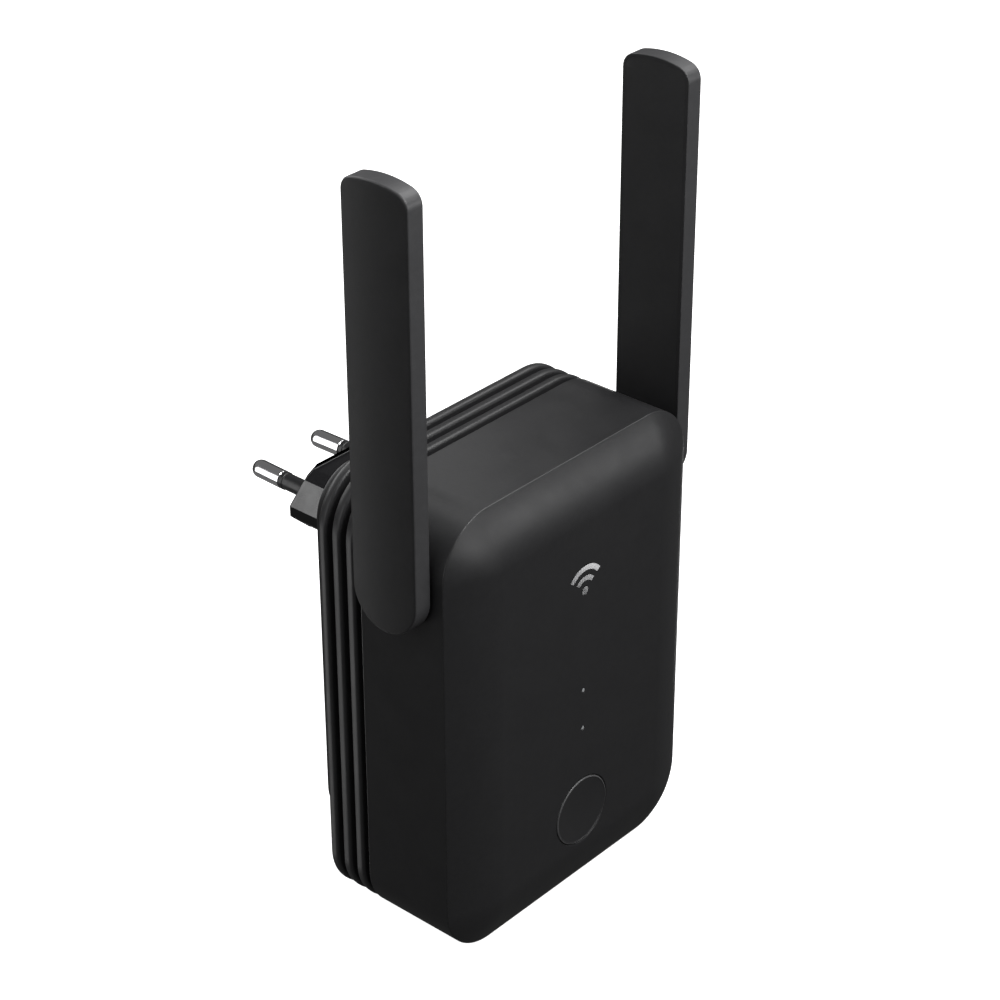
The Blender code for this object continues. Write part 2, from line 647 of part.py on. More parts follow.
def build_power_parts():
    """Transformer, capacitors and the link to the main board, all in front of the power board."""
    top = POWER_BOARD_Y - GAP
    core = block("transformer_core", (-25.0, -3.0), (top - 11.4, top - 3.4), (-38.0, -20.0), "ferrite")
    for index, span in enumerate(((-22.0, -17.0), (-11.0, -6.0))):
        window = block("tool_core_window_" + str(index), span, (top - 20, top), (-35.3, -22.7))
        boolean(core, window)
    winding = block("transformer_winding", (-21.6, -6.4), (top - 14.2, top), (-35.0, -23.0), "tape")
    channel = block("tool_winding_bore", (-17.4, -10.6), (top - 11.8, top - 3.0), (-40.0, -18.0))
    boolean(winding, channel)
    cans = (("large", (14.0, -22.0), 5.5, 13.8), ("small", (14.0, -37.0), 4.2, 12.0))
    for name, centre, radius, length in cans:
        profile = [(top, radius - 0.3), (top - 0.5, radius), (top - 1.6, radius), (top - 1.9, radius - 0.35)]
        profile += [(top - 2.3, radius), (top - length + 0.4, radius), (top - length, radius - 0.5)]
        turned("capacitor_" + name, "Y", centre, profile, "can", steps=20)
    outline = chamfered(7.0, 3.6, 0.6, (-15.5, 12.0))
    prism("filter_capacitor", "Y", outline, top - 11.0, top, "box_cap")
    outline = chamfered(1.4, 5.2, 0.3, (25.5, -30.0))
    prism("board_link", "Y", outline, MAIN_BOARD_Y + BOARD + 0.2, top, "ferrite")


def build_coax_leads():
    """Short leads from the radio board up to the bore of each antenna hub."""
    steps = 8
    angles = [2.0 * math.pi * k / steps for k in range(steps)]
    section = [(0.9 * COAX_R * math.cos(a), COAX_R * math.sin(a), -0.45 * COAX_R * math.cos(a)) for a in angles]
    for side, sign in SIDES.items():
        rings = [[(sign * x + u, y + v, z + w) for u, v, w in section] for x, y, z in COAX_ROUTE]
        loft("coax_lead_" + side, rings, "sleeve")


# ---------------------------------------------------------------- antennas

def blade_outline(inset):
    """Blade seen from the side: round lower end, straight sides, shallow arched top."""
    half = BLADE_HALF_W - inset
    corner = BLADE_CORNER_R - inset
    arch = BLADE_TOP_R - inset
    arch_z = BLADE_TOP - BLADE_TOP_R
    corner_y = half - corner
    corner_z = arch_z + math.sqrt((arch - corner) ** 2 - corner_y ** 2)
    turn = math.degrees(math.atan2(corner_z - arch_z, corner_y))
    arcs = [(0.0, HINGE_Z, half, 180.0, 360.0, 16), (corner_y, corner_z, corner, 0.0, turn, 4)]
    arcs += [(0.0, arch_z, arch, turn, 180.0 - turn, 6), (-corner_y, corner_z, corner, 180.0 - turn, 180.0, 4)]
    outline = []
    for index, (centre_y, centre_z, radius, start, end, steps) in enumerate(arcs):
        first = 1 if index in (2, 3) else 0
        for step in range(first, steps + 1):
            angle = math.radians(start + (end - start) * step / steps)
            outline.append((HINGE_Y + centre_y + radius * math.cos(angle), centre_z + radius * math.sin(angle)))
    return outline


def blade_ring(x, inset):
    return [(x, y, z) for y, z in blade_outline(inset)]


def build_blade(side, sign, pivot):
    """Open blade shell, the cover that closes its inner side and the strip it holds."""
    outer = BLADE_OUTER_X
    inner = BLADE_INNER_X
    floor = outer - BLADE_WALL
    steps = [(outer, 0.6), (outer - 0.2, 0.2), (outer - 0.6, 0.0), (inner + 0.2, 0.0), (inner, 0.2)]
    steps += [(inner, BLADE_LEDGE), (inner + BLADE_WALL, BLADE_LEDGE)]
    steps += [(inner + BLADE_WALL, BLADE_LEDGE + 1.0), (floor, BLADE_LEDGE + 1.0)]
    rings = [blade_ring(sign * x, inset) for x, inset in steps]
    loft("antenna_" + side + "_shell", rings, "shell", origin=pivot)
    rings = [blade_ring(sign * (inner + x), COVER_INSET) for x in (0.05, COVER_DEPTH)]
    cover = loft("antenna_" + side + "_cover", rings, "shell", origin=pivot)
    hole = bore("X", (HINGE_Y, HINGE_Z), sign * (inner - 1.5), sign * (inner + 2.5), HUB_HOLE_R, 28)
    hole.name = "tool_" + side + "_cover_hole"
    boolean(cover, hole)
    corners = ((-1, 0), (1, 0), (1, 1), (-1, 1))
    outline = [(HINGE_Y + across * RADIATOR_HALF_W, RADIATOR_Z[end]) for across, end in corners]
    start, end = (sign * x for x in RADIATOR_X)
    prism("antenna_" + side + "_radiator", "X", outline, start, end, "board", pivot)


def build_hub(side, sign, pivot):
    """Hollow pivot that clips through the shell's hole, and the washer behind it."""
    tip, root = HUB_X
    profile = [(root, HUB_FLANGE_R), (HUB_FLANGE_X, HUB_FLANGE_R), (HUB_FLANGE_X, HUB_R), (HUB_STEP_X, HUB_R)]
    profile += [(HUB_STEP_X, HUB_NECK_R), (HUB_CLIP_X, HUB_NECK_R), (HUB_CLIP_X - 0.1, HUB_CLIP_R)]
    profile += [(tip, HUB_CLIP_R - 0.2), (tip, HUB_BORE_R), (root, HUB_BORE_R)]
    profile = [(sign * x, radius) for x, radius in profile]
    turned("antenna_" + side + "_hub", "X", (HINGE_Y, HINGE_Z), profile, "shell", 28, True, pivot)
    near, far = (sign * x for x in WASHER_X)
    bore_r, outer_r = WASHER_R
    profile = [(far, bore_r), (far, outer_r), (near, outer_r), (near, bore_r)]
    turned("antenna_" + side + "_washer", "X", (HINGE_Y, HINGE_Z), profile, "metal", 24, True, pivot)


def main():
    clear_objects()
    build_front_shell()
    build_rear_shell()
    build_back_plate()
    build_back_screws()
    build_plug_block()
    build_pins()
    build_button()
    build_light_pipes()
    build_emblem()
    build_boards()
    build_main_board_parts()
    build_ethernet_jack()
    build_power_parts()
    build_coax_leads()
    for side, sign in SIDES.items():
        pivot = (sign * BODY_HALF_W, HINGE_Y, HINGE_Z)
        build_blade(side, sign, pivot)
        build_hub(side, sign, pivot)


main()
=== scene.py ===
import math

import bmesh
import bpy
from mathutils import Matrix, Vector


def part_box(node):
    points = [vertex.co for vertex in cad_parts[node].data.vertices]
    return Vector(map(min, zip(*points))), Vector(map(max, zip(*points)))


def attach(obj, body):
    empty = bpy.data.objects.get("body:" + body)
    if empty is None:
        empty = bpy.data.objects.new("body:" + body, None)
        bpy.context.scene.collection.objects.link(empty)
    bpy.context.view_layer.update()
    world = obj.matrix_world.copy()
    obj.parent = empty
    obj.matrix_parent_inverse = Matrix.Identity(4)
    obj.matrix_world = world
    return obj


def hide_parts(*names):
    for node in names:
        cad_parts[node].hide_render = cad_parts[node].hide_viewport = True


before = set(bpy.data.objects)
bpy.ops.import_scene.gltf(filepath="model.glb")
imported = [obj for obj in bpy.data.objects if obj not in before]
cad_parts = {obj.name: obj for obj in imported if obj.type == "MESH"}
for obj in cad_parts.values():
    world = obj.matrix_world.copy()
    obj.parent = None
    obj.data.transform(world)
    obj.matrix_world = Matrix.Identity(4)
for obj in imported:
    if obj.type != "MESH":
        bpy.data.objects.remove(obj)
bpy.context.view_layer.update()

MM = 0.001
SHARP_ANGLE = math.radians(32.0)


def limits(node):
    """Lowest and highest corner of a CAD node, in millimetres."""
    low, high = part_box(node)
    return low / MM, high / MM


FRONT_LOW, FRONT_HIGH = limits("front_shell")
REAR_LOW, REAR_HIGH = limits("rear_shell")
PLATE_LOW, PLATE_HIGH = limits("back_plate")
PLUG_LOW, PLUG_HIGH = limits("plug_block")
BUTTON_LOW, BUTTON_HIGH = limits("button_cap")
SOCKET_LOW, SOCKET_HIGH = limits("ethernet_jack")

# Housing
HALF_W = FRONT_HIGH.x
TOP = FRONT_HIGH.z
BOTTOM = FRONT_LOW.z
FACE_Y = FRONT_LOW.y
SHELL_REAR_Y = FRONT_HIGH.y
CORNER_R = 12.6
CORNER_STEPS = 18
CROWN_DEPTH = 4.5
CROWN_SPAN = 12.4
CROWN_POWER = 1.75
CROWN_RINGS = 26
EDGE_Y = FACE_Y + CROWN_DEPTH
EDGE_ROUND = 0.32
WALL = 2.0

# Ribs round the rear shell
BACK_Y = REAR_HIGH.y
RIB_PITCH = 3.68
GROOVE = 1.55
RIB_COUNT = 3
GROOVE_DEPTH = 2.3
RIB_CROWN = 0.15
REAR_WALL = 1.7
BACK_FLAT_INSET = 5.25
VENT_HALF = 4.5
VENT_WIDTH = 1.2
VENT_X = (-18.0, -6.0, 6.0, 18.0)
VENT_Z = (-54.0, -42.0, -30.0, -18.0, -6.0, 6.0)
BEYOND = 1.0                   # how far a cutter starts outside the face it cuts

# Plug and back
SCREW_X = 27.5
SCREW_Z = (16.5, -51.0)
SCREW_HOLE_R = 1.7
SCREW_SEAT_R = 2.9
PLATE_R = 9.8
LABEL_HALF_W = 20.0
LABEL_Z = (-46.0, -18.0)
LABEL_R = 2.0
LABEL_DEPTH = 0.22
PLUG_HALF_W = 17.6
PLUG_EDGE_R = 0.3
PLUG_FLANGE = 2.2
PLUG_FLANGE_DEPTH = 1.7
PIN_X = 9.3
PIN_TIP_X = 8.8
PIN_R = 2.0
PIN_CORE_R = 1.5
PIN_HOLE_R = 2.1
SLEEVE_R = 1.85
SLEEVE_BORE = 1.6
SLEEVE_END_Y = 10.2

# Front controls
BUTTON_Z = (BUTTON_LOW.z + BUTTON_HIGH.z) / 2.0
BUTTON_R = 7.85
BUTTON_LIP = 0.5
BUTTON_DISH = 0.45
BUTTON_FLANGE = 1.3
BUTTON_FLANGE_DEPTH = 0.8
BUTTON_STEM_R = 2.2
BUTTON_BACK = BUTTON_HIGH.y
LENS_HOLE_R = 0.46
EMBLEM_NODES = ("emblem_dot", "emblem_arc_inner", "emblem_arc_outer")
LIGHT_NODES = ("light_pipe_upper", "light_pipe_lower")
EMBLEM_Z = -0.9
EMBLEM_ARCS = ((2.3, 3.4), (4.6, 5.8))
EMBLEM_HALF_ANGLE = 52.0
EMBLEM_GAP = 0.08
EMBLEM_GAP_ANGLE = 1.2
EMBLEM_DOT_HOLE_R = 1.0
EMBLEM_POCKET = 0.6
SOCKET_HALF_W = 8.35
SOCKET_GAP = 0.35

# Antennas
HUB_HOLE_R = 5.2
BLADE_CORNER_R = 3.2
BLADE_TOP_R = 24.0
BLADE_BULGE = 0.25
BLADE_WALL = 1.2
BLADE_LEDGE = 0.8
LID_SEAM = 0.02
LID_DROP = 0.01


# ---------------------------------------------------------------- mesh helpers

def finish_mesh(name, work):
    """Object from a bmesh in millimetres, its origin at the frame's origin."""
    bmesh.ops.recalc_face_normals(work, faces=work.faces)
    if work.calc_volume(signed=True) < 0.0:
        bmesh.ops.reverse_faces(work, faces=work.faces)
    bmesh.ops.scale(work, vec=(MM, MM, MM), verts=work.verts)
    mesh = bpy.data.meshes.new(name)
    work.to_mesh(mesh)
    work.free()
    mesh.shade_smooth()
    mesh.set_sharp_from_angle(angle=SHARP_ANGLE)
    piece = bpy.data.objects.new(name, mesh)
    bpy.context.scene.collection.objects.link(piece)
    return piece


def loft(name, rings, closed=False):
    """Skin through a list of rings, capped at both ends unless it closes on itself."""
    work = bmesh.new()
    loops = [[work.verts.new(point) for point in ring] for ring in rings]
    if closed:
        loops.append(loops[0])
    for here, there in zip(loops, loops[1:]):
        for index in range(len(here)):
            work.faces.new((here[index - 1], here[index], there[index], there[index - 1]))
    if not closed:
        work.faces.new(loops[0])
        work.faces.new(loops[-1])
    return finish_mesh(name, work)


def place(axis, along, u, v):
    """Point from a distance along an axis and two cross coordinates."""
    return {"X": (along, u, v), "Y": (u, along, v), "Z": (u, v, along)}[axis]


def circle(axis, along, centre, radius, steps):
    angles = [2.0 * math.pi * index / steps for index in range(steps)]
    return [place(axis, along, centre[0] + radius * math.cos(angle), centre[1] + radius * math.sin(angle))
            for angle in angles]


def turned(name, axis, centre, profile, steps=48, closed=False):
    """Solid of revolution; profile is a list of (distance along the axis, radius)."""
    return loft(name, [circle(axis, along, centre, radius, steps) for along, radius in profile], closed)


def soften(corners, steps=5):
    """Polyline with rounded corners; each corner is (u, v, radius)."""
    points = []
    for index, (u, v, radius) in enumerate(corners):
        here = Vector((u, v))
        if radius == 0.0:
            points.append((u, v))
            continue
        before = (Vector(corners[index - 1][:2]) - here).normalized()
        after = (Vector(corners[index + 1][:2]) - here).normalized()
        half = before.angle(after) / 2.0
        reach = radius / math.tan(half)
        centre = here + (before + after).normalized() * (radius / math.sin(half))
        start = here + before * reach - centre
        turn = (here + after * reach - centre).angle_signed(start)
        for step in range(steps + 1):
            arm = Matrix.Rotation(turn * step / steps, 2) @ start
            points.append((centre.x + arm.x, centre.y + arm.y))
    return points


def rounded_ring(y, inset, half_w, bottom, top, radius, steps=CORNER_STEPS):
    """Rounded rectangle facing front, moved inwards by inset."""
    radius_in = max(radius - inset, 0.4)
    reach_x = half_w - inset - radius_in
    low = bottom + inset + radius_in
    high = top - inset - radius_in
    ring = []
    corners = ((reach_x, high, 0), (-reach_x, high, 90), (-reach_x, low, 180), (reach_x, low, 270))
    for x, z, start in corners:
        for index in range(steps + 1):
            angle = math.radians(start + 90.0 * index / steps)
            ring.append((x + radius_in * math.cos(angle), y, z + radius_in * math.sin(angle)))
    return ring


def body_ring(y, inset):
    return rounded_ring(y, inset, HALF_W, BOTTOM, TOP, CORNER_R)


def slab(x, y, z):
    """Box between three pairs of limits, as a cutter."""
    corners = ((x[0], y[0]), (x[1], y[0]), (x[1], y[1]), (x[0], y[1]))
    return loft("cut", [[(across, deep, height) for across, deep in corners] for height in z])


def carve(piece, cutters):
    """Cut closed solids out of a piece and keep the result as plain mesh."""
    work = bmesh.new()
    for cutter in cutters:
        work.from_mesh(cutter.data)
        bpy.data.objects.remove(cutter, do_unlink=True)
    mesh = bpy.data.meshes.new("tool")
    work.to_mesh(mesh)
    work.free()
    tool = bpy.data.objects.new("tool", mesh)
    bpy.context.scene.collection.objects.link(tool)
    step = piece.modifiers.new("cut", "BOOLEAN")
    step.object = tool
    step.solver = "EXACT"
    bake(piece)
    bpy.data.objects.remove(tool, do_unlink=True)
    piece.data.set_sharp_from_angle(angle=SHARP_ANGLE)
    even_normals(piece)
    bake(piece)
    return piece


def even_normals(piece):
    """Let broad flat faces keep their own normal, so shading only turns in the roundings."""
    step = piece.modifiers.new("even", "WEIGHTED_NORMAL")
    step.keep_sharp = True
    step.weight = 80


def bake(piece):
    """Replace a piece's mesh by what its modifiers make of it."""
    graph = bpy.context.evaluated_depsgraph_get()
    final = piece.evaluated_get(graph)
    mesh = bpy.data.meshes.new_from_object(final, preserve_all_data_layers=True, depsgraph=graph)
    piece.modifiers.clear()
    piece.data = mesh
    mesh.name = piece.name


def settle(piece, body, material, replaced=()):
    """Give a finished piece its material, its body and the CAD nodes it stands for."""
    piece.data.materials.clear()
    piece.data.materials.append(material)
    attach(piece, body)
    if replaced:
        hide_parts(*replaced)
    return piece


# ---------------------------------------------------------------- materials

class Shader:
    """Node tree of one material, with short ways to add what the pieces need."""

    def __init__(self, name, colour, roughness, metallic=0.0, specular=0.5):
        self.material = bpy.data.materials.new(name)
        self.material.use_nodes = True
        self.nodes = self.material.node_tree.nodes
        self.links = self.material.node_tree.links
        self.surface = self.nodes["Principled BSDF"]
        self.colour = colour
        self.roughness = roughness
        self.surface.inputs["Metallic"].default_value = metallic
        self.surface.inputs["Specular IOR Level"].default_value = specular
        self.space = self.nodes.new("ShaderNodeTexCoord").outputs["Object"]

    def noise(self, period_mm, detail=2.0, stretch=(1.0, 1.0, 1.0)):
        """Noise whose features are about period_mm across; stretch lengthens them along an axis."""
        mapping = self.nodes.new("ShaderNodeMapping")
        mapping.inputs["Scale"].default_value = [1.0 / value for value in stretch]
        self.links.new(self.space, mapping.inputs["Vector"])
        texture = self.nodes.new("ShaderNodeTexNoise")
        texture.inputs["Scale"].default_value = 1.0 / (period_mm * MM)
        texture.inputs["Detail"].default_value = detail
        self.links.new(mapping.outputs["Vector"], texture.inputs["Vector"])
        return texture.outputs["Fac"]

    def vary_colour(self, source, spread):
        """Colour drifts by plus or minus spread with the source."""
        mix = self.nodes.new("ShaderNodeMix")
        mix.data_type = "RGBA"
        mix.inputs["A"].default_value = (*[value * (1.0 - spread) for value in self.colour], 1.0)
        mix.inputs["B"].default_value = (*[value * (1.0 + spread) for value in self.colour], 1.0)
        self.links.new(source, mix.inputs["Factor"])
        self.links.new(mix.outputs["Result"], self.surface.inputs["Base Color"])

    def vary_roughness(self, source, spread):
        span = self.nodes.new("ShaderNodeMapRange")
        span.inputs["From Min"].default_value = 0.3
        span.inputs["From Max"].default_value = 0.7
        span.inputs["To Min"].default_value = self.roughness - spread
        span.inputs["To Max"].default_value = self.roughness + spread
        self.links.new(source, span.inputs["Value"])
        self.links.new(span.outputs["Result"], self.surface.inputs["Roughness"])

    def emboss(self, source, height_mm, strength=1.0):
        """Add a bump on top of any bump there is already."""
        bump = self.nodes.new("ShaderNodeBump")
        bump.inputs["Distance"].default_value = height_mm * MM
        bump.inputs["Strength"].default_value = strength
        self.links.new(source, bump.inputs["Height"])
        socket = self.surface.inputs["Normal"]
        if socket.links:
            self.links.new(socket.links[0].from_socket, bump.inputs["Normal"])
        self.links.new(bump.outputs["Normal"], socket)


def grained_plastic(name, colour=(0.0185, 0.0185, 0.0195), roughness=0.39, grain=0.3, height=0.02):
    """Near-black moulded plastic with a spark-eroded grain and a soft sheen."""
    shader = Shader(name, colour, roughness)
    fine = shader.noise(grain, 3.0)
    shader.vary_colour(shader.noise(1.2, 4.0), 0.14)
    shader.vary_roughness(shader.noise(7.0, 3.0), 0.03)
    shader.emboss(fine, height, 0.55)
    shader.emboss(shader.noise(1.4, 2.0), 0.03, 0.2)
    return shader.material


def smooth_plastic(name, colour, roughness, wave=0.006):
    """Polished moulding: faint flow waves and fingertip smears in the gloss."""
    shader = Shader(name, colour, roughness)
    shader.vary_colour(shader.noise(5.0, 3.0), 0.1)
    shader.vary_roughness(shader.noise(3.0, 4.0), min(0.05, roughness * 0.4))
    shader.emboss(shader.noise(2.2, 1.0), wave, 0.4)
    return shader.material


def metal(name, colour, roughness, stretch=(1.0, 1.0, 1.0), period=0.15):
    """Metal with fine drawing or brushing marks along the stretched axis."""
    shader = Shader(name, colour, roughness, metallic=1.0)
    shader.vary_colour(shader.noise(2.5, 3.0), 0.05)
    shader.vary_roughness(shader.noise(period, 2.0, stretch), 0.05)
    shader.emboss(shader.noise(period, 2.0, stretch), 0.003, 0.4)
    return shader.material


def rough_solid(name, colour, roughness, period=0.4, height=0.02, spread=0.2):
    """Sintered, moulded or taped body with visible mottling."""
    shader = Shader(name, colour, roughness)
    shader.vary_colour(shader.noise(period * 4.0, 4.0), spread)
    shader.vary_roughness(shader.noise(period * 6.0, 2.0), 0.06)
    shader.emboss(shader.noise(period, 3.0), height, 0.6)
    return shader.material


def circuit_board(name):
    """Green solder mask over faint copper runs."""
    shader = Shader(name, (0.012, 0.085, 0.035), 0.38)
    runs = shader.noise(1.6, 1.0, (6.0, 1.0, 1.0))
    shader.vary_colour(runs, 0.3)
    shader.vary_roughness(shader.noise(1.0, 2.0), 0.05)
    shader.emboss(runs, 0.03, 0.5)
    return shader.material


# ---------------------------------------------------------------- housing

def crown_y(inset):
    """Depth of the crowned front at a distance in from its edge."""
    rest = 1.0 - min(inset / CROWN_SPAN, 1.0)
    return EDGE_Y - CROWN_DEPTH * (1.0 - rest ** CROWN_POWER)


def front_profile():
    """Front shell in section: (inset, y) from the flat of the face over the edge and back inside."""
    insets = [CROWN_SPAN * (CROWN_RINGS - step) / CROWN_RINGS for step in range(CROWN_RINGS)]
    corners = [(CROWN_SPAN + 1.0, FACE_Y, 0.0)]
    corners += [(inset, crown_y(inset), 0.0) for inset in insets]
    corners += [(0.0, EDGE_Y, EDGE_ROUND), (0.0, SHELL_REAR_Y, 0.3), (WALL, SHELL_REAR_Y, 0.0)]
    corners.append((WALL, crown_y(WALL) + WALL, 0.0))
    corners += [(inset, crown_y(inset) + WALL, 0.0) for inset in (4.5, 7.0, 9.5, CROWN_SPAN)]
    return soften(corners, 4)


def emblem_cutter(inner_r, outer_r):
    """Arc-shaped pocket for one stroke of the emblem."""
    half = EMBLEM_HALF_ANGLE + EMBLEM_GAP_ANGLE
    steps = 16
    angles = [math.radians(90.0 - half + 2.0 * half * k / steps) for k in range(steps + 1)]
    outline = [(outer_r * math.cos(a), outer_r * math.sin(a)) for a in angles]
    outline += [(inner_r * math.cos(a), inner_r * math.sin(a)) for a in reversed(angles)]
    ends = (FACE_Y - BEYOND, FACE_Y + EMBLEM_POCKET)
    return loft("cut", [[(x, y, EMBLEM_Z + z) for x, z in outline] for y in ends])


def well(axis, centre, face, inward, radius, depth, flare, steps=64):
    """Round cutter with a small chamfer where it meets the face."""
    profile = [(face - inward, radius + flare + BEYOND), (face, radius + flare)]
    profile += [(face + inward * flare, radius), (face + inward * depth, radius)]
    return turned("cut", axis, centre, profile, steps)


def front_cutters():
    cuts = [well("Y", (0.0, BUTTON_Z), FACE_Y, 1.0, BUTTON_R + 0.16, 6.0, 0.14, 96)]
    for node in LIGHT_NODES:
        low, high = limits(node)
        cuts.append(well("Y", (0.0, (low.z + high.z) / 2.0), FACE_Y, 1.0, LENS_HOLE_R, 6.0, 0.1, 24))
    cuts.append(well("Y", (0.0, EMBLEM_Z), FACE_Y, 1.0, EMBLEM_DOT_HOLE_R, EMBLEM_POCKET, 0.02, 32))
    cuts += [emblem_cutter(inner_r - EMBLEM_GAP, outer_r + EMBLEM_GAP) for inner_r, outer_r in EMBLEM_ARCS]
    for side in ("left", "right"):
        low, high = limits("antenna_" + side + "_hub")
        centre = ((low.y + high.y) / 2.0, (low.z + high.z) / 2.0)
        sign = math.copysign(1.0, low.x)
        cuts.append(well("X", centre, sign * HALF_W, -sign, HUB_HOLE_R, 6.0, 0.3))
    rings = []
    for z, grow in ((BOTTOM - 1.0, 1.4), (BOTTOM + 0.4, 0.0), (BOTTOM + 3.5, 0.0)):
        x = SOCKET_HALF_W + grow
        near = SOCKET_LOW.y - SOCKET_GAP - grow
        far = SOCKET_HIGH.y + SOCKET_GAP + grow
        rings.append([(-x, near, z), (x, near, z), (x, far, z), (-x, far, z)])
    cuts.append(loft("cut", rings))
    return cuts


def build_front(material):
    piece = loft("housing_front", [body_ring(y, inset) for inset, y in front_profile()])
    carve(piece, front_cutters())
    return settle(piece, "housing", material, ["front_shell"])


def rear_profile():
    """Rear shell in section: back corner, three crowned ribs, tongue and inner wall."""
    corners = [(BACK_FLAT_INSET, BACK_Y, 0.0)]
    for rib in range(RIB_COUNT):
        near = SHELL_REAR_Y + (RIB_COUNT - 1 - rib) * RIB_PITCH + GROOVE
        far = near + RIB_PITCH - GROOVE
        if rib:
            corners += [(GROOVE_DEPTH, far, 0.25), (RIB_CROWN, far, 0.35)]
        else:
            corners.append((RIB_CROWN, BACK_Y, 1.1))
        corners += [(0.0, (near + min(far, BACK_Y)) / 2.0, 2.6), (RIB_CROWN, near, 0.75)]
        corners.append((GROOVE_DEPTH, near, 0.25))
    tongue = REAR_LOW.y
    corners += [(GROOVE_DEPTH, tongue, 0.3), (GROOVE_DEPTH + REAR_WALL, tongue, 0.0)]
    corners.append((GROOVE_DEPTH + REAR_WALL, BACK_Y - 2.0, 0.0))
    return soften(corners, 5)


def vent_cutters():
    """Slots through the floors of the two rear grooves, on all four sides."""
    cuts = []
    reach = GROOVE_DEPTH + REAR_WALL + BEYOND
    for groove in (1, 2):
        start = SHELL_REAR_Y + groove * RIB_PITCH + 0.3
        depth = (start, start + VENT_WIDTH)
        for centre in VENT_X:
            span = (centre - VENT_HALF, centre + VENT_HALF)
            cuts.append(slab(span, depth, (TOP - reach, TOP - BEYOND)))
            cuts.append(slab(span, depth, (BOTTOM + BEYOND, BOTTOM + reach)))
        for centre in VENT_Z:
            span = (centre - VENT_HALF, centre + VENT_HALF)
            cuts.append(slab((HALF_W - reach, HALF_W - BEYOND), depth, span))
            cuts.append(slab((BEYOND - HALF_W, reach - HALF_W), depth, span))
    return cuts


def plug_points(grow):
    """Half-outline corners of the flattened plug, grown outwards."""
    wide, slope_x, flat_x = PLUG_HALF_W, PLUG_HALF_W - 4.7, PLUG_HALF_W - 7.6
    right = [(flat_x, 6.8), (slope_x, 5.4), (wide, 1.1), (wide, -1.1), (slope_x, -5.4), (flat_x, -6.8)]
    grown = [(x + grow, z + math.copysign(grow, z)) for x, z in right]
    return grown + [(-x, z) for x, z in reversed(grown)]



def plug_outline(inset, radius):
    """Plug outline with its long edges rounded."""
    points = plug_points(-inset)
    looped = [points[-1]] + points + [points[0]]
    corners = [(x, z, radius) for x, z in looped]
    corners[0] = (*looped[0], 0.0)
    corners[-1] = (*looped[-1], 0.0)
    return soften(corners, 3)[1:-1]


def plug_window(start, end, grow=0.3):
    return loft("cut", [[(x, y, z) for x, z in plug_points(grow)] for y in (start, end)])


def build_rear(material):
    piece = loft("housing_rear", [body_ring(y, inset) for inset, y in rear_profile()])
    cuts = vent_cutters()
    hole = [(BACK_Y + BEYOND, SCREW_HOLE_R), (BACK_Y - 9.0, SCREW_HOLE_R)]
    for sign in (-1, 1):
        cuts += [turned("cut", "Y", (sign * SCREW_X, height), hole, 24) for height in SCREW_Z]
    cuts.append(plug_window(BACK_Y + BEYOND, BACK_Y - 4.0))
    carve(piece, cuts)
    return settle(piece, "housing", material, ["rear_shell"])


def build_plate(material):
    near, far = PLATE_LOW.y, PLATE_HIGH.y
    profile = soften([(1.5, near, 0.0), (0.0, near, 0.2), (0.0, far, 0.8), (3.0, far, 0.0)], 5)
    rings = [rounded_ring(y, inset, PLATE_HIGH.x, PLATE_LOW.z, PLATE_HIGH.z, PLATE_R) for inset, y in profile]
    piece = loft("back_cover", rings)
    cuts = [plug_window(near - BEYOND, far + BEYOND)]
    bore = [(far + BEYOND, SCREW_SEAT_R + 1.0), (far, SCREW_SEAT_R + 0.15), (far - 0.15, SCREW_SEAT_R)]
    bore += [(far - 0.4, SCREW_SEAT_R), (far - 1.5, SCREW_HOLE_R), (near - BEYOND, SCREW_HOLE_R)]
    for sign in (-1, 1):
        for height in SCREW_Z:
            cuts.append(turned("cut", "Y", (sign * SCREW_X, height), bore, 40))
    cuts.append(label_recess(far))
    carve(piece, cuts)
    return settle(piece, "housing", material, ["back_plate"])


def label_recess(face):
    """Shallow blank field below the plug, with rounded corners."""
    ends = (face - LABEL_DEPTH, face + BEYOND)
    return loft("cut", [rounded_ring(y, 0.0, LABEL_HALF_W, *LABEL_Z, LABEL_R, 6) for y in ends])


# ---------------------------------------------------------------- plug

def build_plug(material):
    flange_front, end = PLUG_LOW.y, PLUG_HIGH.y
    flange_back = flange_front + PLUG_FLANGE_DEPTH
    section = soften([(0.9, end, 0.0), (0.0, end, 0.2), (0.0, flange_back, 0.0)], 4)
    section += [(-PLUG_FLANGE, flange_back), (-PLUG_FLANGE, flange_front)]
    rings = [[(x, y, z) for x, z in plug_outline(inset, PLUG_EDGE_R)] for inset, y in section]
    piece = loft("plug_body", rings)
    cuts = [well("Y", (sign * PIN_X, 0.0), end, -1.0, PIN_HOLE_R, 34.0, 0.12, 40) for sign in (-1, 1)]
    carve(piece, cuts)
    return settle(piece, "housing", material, ["plug_block"])


def pin_piece(name, sign, profile, closed=False):
    """Round piece about a pin's axis, which leans inwards beyond the plug's face."""
    length = limits("pin_left")[1].y
    rings = []
    for y, radius in profile:
        lean = max(y, 0.0) / length
        rings.append(circle("Y", y, (sign * (PIN_X + (PIN_TIP_X - PIN_X) * lean), 0.0), radius, 40))
    return loft(name, rings, closed)


